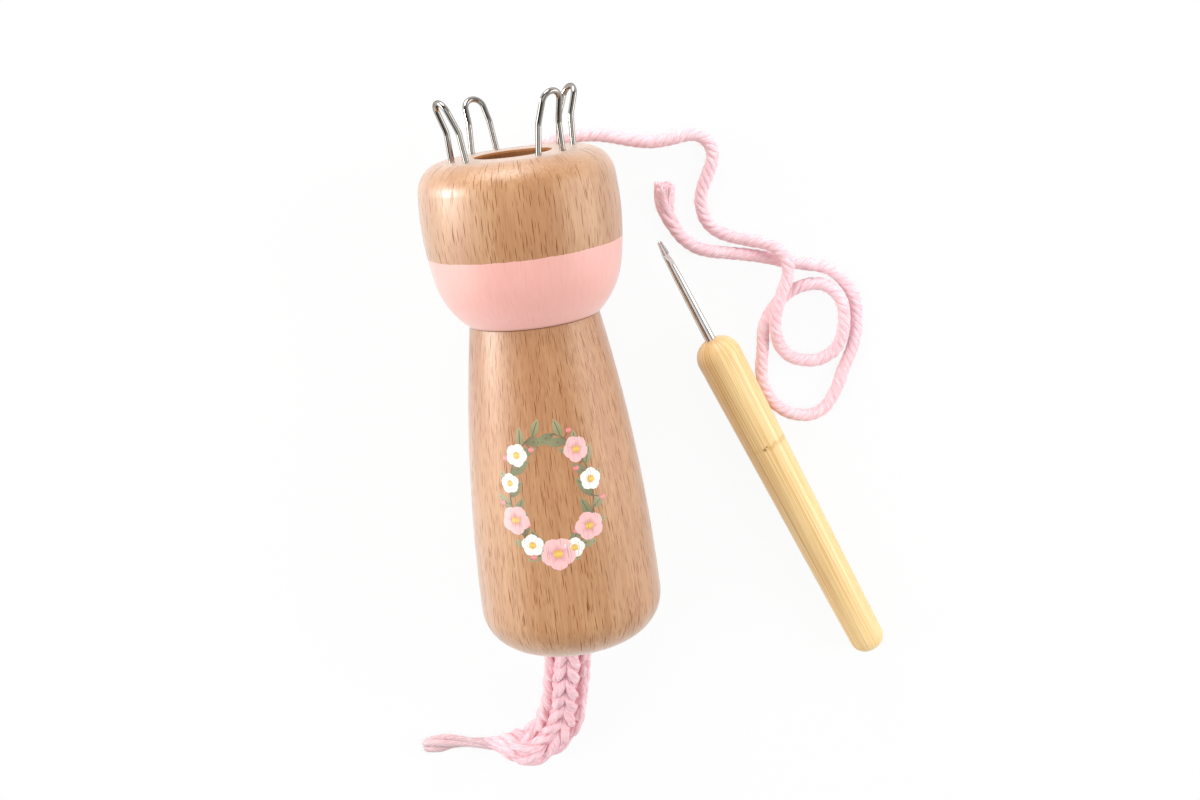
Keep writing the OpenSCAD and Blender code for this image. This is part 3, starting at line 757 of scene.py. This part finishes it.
PRINT_ALONG = 46 * MM
PRINT_TURN = math.radians(-4.5)
PRINT_RADIUS = 21.9 * MM
PRINT_RAY = 60 * MM
# The wreath's half width and half height, in millimetres.
WREATH_WIDE = 10.6
WREATH_TALL = 15.2
# Millimetres of ink above the trunk's face for each layer, and below it.
STEM_LIFT = 0.03
LEAF_LIFT = 0.035
TWIG_LIFT = 0.04
VEIN_LIFT = 0.045
BERRY_LIFT = 0.05
PETAL_LIFT = 0.06
PETAL_STEP = 0.004
HEART_LIFT = 0.09
INK_DEPTH = 0.05

trunk_tree = BVHTree.FromObject(nodes["trunk"], bpy.context.evaluated_depsgraph_get())


def on_trunk(across, along, lift):
    """A point on the trunk's face, from millimetres across and along the print."""
    angle = PRINT_TURN + across * MM / PRINT_RADIUS
    away = math.sin(angle) * DOLL_SIDE + math.cos(angle) * DOLL_FRONT
    axis_point = DOLL_UP * (PRINT_ALONG + along * MM)
    hit = trunk_tree.ray_cast(axis_point + away * PRINT_RAY, -away)[0]
    return hit + away * lift * MM


class Print:
    """Collects thin closed patches of ink."""

    def __init__(self):
        self.points = []
        self.faces = []
        self.inks = []

    def patch(self, rows, lift, colours):
        """A grid of places with one colour per row, given a little thickness."""
        start = len(self.points)
        tall, wide = len(rows), len(rows[0])
        for height in (lift, -INK_DEPTH):
            for row, colour in zip(rows, colours):
                for across, along in row:
                    self.points.append(on_trunk(across, along, height))
                    self.inks.append((*colour, 1))
        low = start + tall * wide
        for i in range(tall - 1):
            for k in range(wide - 1):
                a, b = i * wide + k, i * wide + k + 1
                c, d = a + wide, b + wide
                self.faces.append((start + a, start + b, start + d, start + c))
                self.faces.append((low + a, low + c, low + d, low + b))
        rim = [*range(wide), *range(2 * wide - 1, tall * wide, wide)]
        rim += [*range(tall * wide - 2, (tall - 1) * wide - 1, -1), *range((tall - 2) * wide, 0, -wide)]
        for a, b in zip(rim, rim[1:] + rim[:1]):
            self.faces.append((start + b, start + a, low + a, low + b))

    def blade(self, base, heading, long, half_width, lift, colours):
        """A petal or leaf: half_width gives its half width at a share of its length."""
        rows = []
        forward = (math.sin(heading), math.cos(heading))
        right = (forward[1], -forward[0])
        for share in np.linspace(0, 1, len(colours)):
            half = half_width(share)
            row = []
            for place in np.linspace(-1, 1, 7):
                reach = share * long
                row.append((
                    base[0] + forward[0] * reach + right[0] * half * place,
                    base[1] + forward[1] * reach + right[1] * half * place,
                ))
            rows.append(row)
        self.patch(rows, lift, colours)

    def disc(self, centre, radius, lift, inner, outer):
        """A round spot as a grid of half rings."""
        self.blade(
            (centre[0], centre[1] - radius), 0, 2 * radius,
            lambda share: radius * math.sqrt(max(1e-4, 1 - (2 * share - 1) ** 2)), lift,
            shades(outer, inner, 4) + shades(inner, outer, 4)[1:],
        )

    def stem(self, line, width, lift, colour):
        """A thin line of ink."""
        line = np.array(line)
        ahead = unit(np.gradient(line, axis=0))
        right = np.stack([ahead[:, 1], -ahead[:, 0]], axis=1) * width / 2
        rows = [[tuple(p - r), tuple(p), tuple(p + r)] for p, r in zip(line, right)]
        self.patch(rows, lift, [colour] * len(rows))


def shades(a, b, count):
    """Colours from a to b."""
    return [[x + (y - x) * i / (count - 1) for x, y in zip(a, b)] for i in range(count)]


def petal_width(wide):
    return lambda share: max(0.03, wide / 2 * math.sin(math.pi * min(1, 0.04 + 0.96 * share) ** 1.5) ** 0.6)


def leaf_width(wide):
    return lambda share: max(0.03, wide / 2 * math.sin(math.pi * (0.01 + 0.98 * share) ** 0.85))


STEM_INK = linear(110, 88, 58)
VEIN_INK = linear(84, 82, 50)
LEAF_INKS = [(linear(108, 110, 72), linear(146, 146, 104)), (linear(134, 132, 88), linear(168, 162, 120))]
ROSE = linear(206, 104, 112)
BLUSH = linear(247, 193, 192)
CREAM = linear(224, 212, 194)
WHITE = linear(250, 246, 240)
GOLD = linear(242, 202, 92)
AMBER = linear(214, 160, 62)
BERRY = linear(214, 96, 104)
BERRY_LIGHT = linear(240, 150, 150)
BERRY_RADIUS = 0.75
STEM_WIDE = 0.45
VEIN_WIDE = 0.22
TWIG_WIDE = 0.28
LEAF_WIDE = 2.4
OUTER_LEAF = 6.2
INNER_LEAF = 4.8

# Berries: degrees round the wreath and millimetres out from it.
BERRIES = (
    (29, 2.4), (62, -2.6), (98, 2.6), (140, -2.5), (205, 2.4),
    (232, -2.6), (262, 2.5), (300, 2.6), (331, -2.4),
)
# Flowers: degrees round the wreath, length of a petal, its inks, radius of the heart.
FLOWERS = (
    (180, 4.3, (ROSE, BLUSH), 1.15),
    (128, 3.7, (ROSE, BLUSH), 1.0),
    (246, 3.8, (ROSE, BLUSH), 1.0),
    (48, 3.4, (ROSE, BLUSH), 0.95),
    (312, 3.0, (CREAM, WHITE), 0.95),
    (282, 2.6, (CREAM, WHITE), 0.85),
    (82, 2.9, (CREAM, WHITE), 0.95),
    (158, 2.6, (CREAM, WHITE), 0.85),
    (214, 2.9, (CREAM, WHITE), 0.9),
)
PETALS = 5


def wreath(angle, out=0.0):
    """A place on the wreath, from the top round to the right, and the heading along it."""
    a = math.radians(angle)
    place = ((WREATH_WIDE + out) * math.sin(a), (WREATH_TALL + out) * math.cos(a))
    return place, math.atan2(WREATH_WIDE * math.cos(a), -WREATH_TALL * math.sin(a))


printed = Print()
for first, last in ((12, 176), (184, 348)):
    printed.stem([wreath(a)[0] for a in np.arange(first, last, 3.0)], STEM_WIDE, STEM_LIFT, STEM_INK)
for i, angle in enumerate(np.arange(14, 348, 10.6)):
    place, heading = wreath(angle)
    turned = heading + (0 if angle < 180 else math.pi)
    outward = i % 2 == 0
    tilt = math.radians(-42 if outward else 40) * (1 if angle < 180 else -1)
    long = (OUTER_LEAF if outward else INNER_LEAF) * (0.9 + 0.2 * (i % 3) / 2)
    dark, light = LEAF_INKS[i % 2]
    aim = turned + math.pi + tilt
    printed.blade(place, aim, long, leaf_width(LEAF_WIDE), LEAF_LIFT, shades(dark, light, 8))
    forward = np.array((math.sin(aim), math.cos(aim)))
    vein = [place + forward * reach for reach in (0.2, 0.4 * long, 0.85 * long)]
    printed.stem(vein, VEIN_WIDE, VEIN_LIFT, VEIN_INK)
for angle, out in BERRIES:
    place, _ = wreath(angle)
    berry, _ = wreath(angle + 2, out)
    printed.stem([place, np.add(place, berry) / 2, berry], TWIG_WIDE, TWIG_LIFT, STEM_INK)
    printed.disc(berry, BERRY_RADIUS, BERRY_LIFT, BERRY_LIGHT, BERRY)
for angle, size, inks, heart in FLOWERS:
    place, _ = wreath(angle)
    for k in range(PETALS):
        heading = math.radians(360 / PETALS * k + angle)
        colours = shades(inks[0], inks[1], 5) + [inks[1]] * 4
        printed.blade(place, heading, size, petal_width(size * 0.98), PETAL_LIFT + PETAL_STEP * k, colours)
    printed.disc(place, heart, HEART_LIFT, GOLD, AMBER)

print_mesh = bpy.data.meshes.new("flower_print")
print_mesh.from_pydata([tuple(p) for p in printed.points], [], printed.faces)
inks = print_mesh.color_attributes.new("ink", "FLOAT_COLOR", "POINT")
inks.data.foreach_set("color", np.array(printed.inks, np.float32).ravel())
print_mesh.shade_smooth()
print_mesh.set_sharp_from_angle(angle=math.radians(35))
print_mesh.materials.append(ink("printed_ink"))
flower_print = bpy.data.objects.new("flower_print", print_mesh)
scene.collection.objects.link(flower_print)


# What each piece rides on; the imported yarn parts are hidden and the modelled yarn takes their place

for piece, slot in (
    (loose_yarn, "yarn"),
    (knit_stitches, "yarn"),
    (gathered_end, "yarn"),
    (cast_on_tail, "yarn"),
    (flower_print, "beech"),
):
    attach(piece, "doll")
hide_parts("working_yarn")
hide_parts("knitted_cord")


# Camera, light and table

CAMERA_PLACE = (0, 0.15731, 0.39168)
CAMERA_LENS = 47.04
CAMERA_TURNS = ((0.74, "X"), (-2.04, "Y"), (-14.37, "X"), (-7.01, "Z"))
TABLE_RADIUS = 1.6
TABLE_SIDES = 64
# Share of the table's own white in what the camera sees of it
TABLE_GLOW = 0.93

camera = bpy.data.objects.new("camera", bpy.data.cameras.new("camera"))
camera.data.sensor_width = 36
camera.data.lens = CAMERA_LENS
camera.data.clip_start = 0.01
facing = Matrix.Identity(3)
for degrees, axis in CAMERA_TURNS:
    facing = facing @ Matrix.Rotation(math.radians(degrees), 3, axis)
camera.matrix_world = Matrix.Translation(CAMERA_PLACE) @ facing.to_4x4()
scene.collection.objects.link(camera)
scene.camera = camera

middle_point = (cad_low + cad_high) / 2


def soft_light(name, offset, size, watts, lights, mirrored):
    """A square soft light that looks at the middle. It lights the object, is mirrored in it, or both."""
    lamp = bpy.data.lights.new(name, "AREA")
    lamp.size = size
    lamp.energy = watts
    obj = bpy.data.objects.new(name, lamp)
    obj.location = middle_point + Vector(offset)
    obj.rotation_euler = (-Vector(offset)).to_track_quat("-Z", "Y").to_euler()
    obj.visible_diffuse = lights
    obj.visible_glossy = mirrored
    scene.collection.objects.link(obj)


soft_light("light_left", (-0.62, 0.12, 0.36), 0.5, 3.7, True, False)
soft_light("light_right", (0.66, 0.02, 0.34), 0.5, 3.6, True, False)
soft_light("light_back", (-0.1, 0.62, 0.14), 0.35, 2.3, True, True)
soft_light("gloss_left", (-0.66, 0.1, 0.17), 0.4, 1.4, False, True)
soft_light("gloss_right", (0.66, 0.05, 0.17), 0.4, 1.1, False, True)
soft_light("gloss_window", (-0.66, 0.22, 0.045), 0.13, 3.5, False, True)

floor_mesh = bpy.data.meshes.new("table")
round_table = np.linspace(0, 2 * math.pi, TABLE_SIDES, endpoint=False)
rim = [(TABLE_RADIUS * math.cos(a), TABLE_RADIUS * math.sin(a), TABLE_Z) for a in round_table]
floor_mesh.from_pydata(rim, [], [tuple(range(TABLE_SIDES))])
table = bpy.data.objects.new("table", floor_mesh)
scene.collection.objects.link(table)


def seen_share(tree):
    """1 for what the camera sees, directly, mirrored or through glass."""
    path = add(tree, "ShaderNodeLightPath").outputs
    most = math_node(tree, "MAXIMUM", path["Is Camera Ray"], path["Is Glossy Ray"])
    return math_node(tree, "MAXIMUM", most, path["Is Transmission Ray"])


white = bpy.data.materials.new("white_table")
white.use_nodes = True
tree = white.node_tree
tree.nodes.clear()
cloth = add(tree, "ShaderNodeBsdfDiffuse", {"Color": (0.86, 0.86, 0.86, 1)}).outputs[0]
glow = add(tree, "ShaderNodeEmission", {"Color": (1, 1, 1, 1), "Strength": 1.0}).outputs[0]
share_seen = math_node(tree, "MULTIPLY", seen_share(tree), TABLE_GLOW)
mixed = add(tree, "ShaderNodeMixShader", {0: share_seen, 1: cloth, 2: glow}).outputs[0]
add(tree, "ShaderNodeOutputMaterial", {"Surface": mixed})
floor_mesh.materials.append(white)

world = bpy.data.worlds.new("studio")
world.use_nodes = True
scene.world = world
tree = world.node_tree
tree.nodes.clear()
coords = add(tree, "ShaderNodeTexCoord").outputs["Generated"]
across, _, height = add(tree, "ShaderNodeSeparateXYZ", {0: coords}).outputs
overhead = remap(tree, height, 0.84, 0.97, 0, 0.95)
low_band = remap(tree, height, 0.4, 0.1, 0, 0.9)
lower = math_node(tree, "MULTIPLY", low_band, remap(tree, across, -0.9, 0.6, 1.5, 0.8))
fill = remap(tree, across, -0.15, 0.4, 0.04, 0.35)
level = math_node(tree, "MAXIMUM", math_node(tree, "MAXIMUM", overhead, lower), fill)
dim = add(tree, "ShaderNodeBackground", {"Color": (1, 1, 1, 1), "Strength": 0.5}).outputs[0]
mirror = add(tree, "ShaderNodeBackground", {"Color": (1, 1, 1, 1), "Strength": level}).outputs[0]
plain = add(tree, "ShaderNodeBackground", {"Color": (1, 1, 1, 1), "Strength": 1.0}).outputs[0]
path = add(tree, "ShaderNodeLightPath").outputs
lit = add(tree, "ShaderNodeMixShader", {0: path["Is Glossy Ray"], 1: dim, 2: mirror}).outputs[0]
direct = math_node(tree, "MAXIMUM", path["Is Camera Ray"], path["Is Transmission Ray"])
final = add(tree, "ShaderNodeMixShader", {0: direct, 1: lit, 2: plain}).outputs[0]
add(tree, "ShaderNodeOutputWorld", {"Surface": final})

scene.view_settings.view_transform = "Standard"
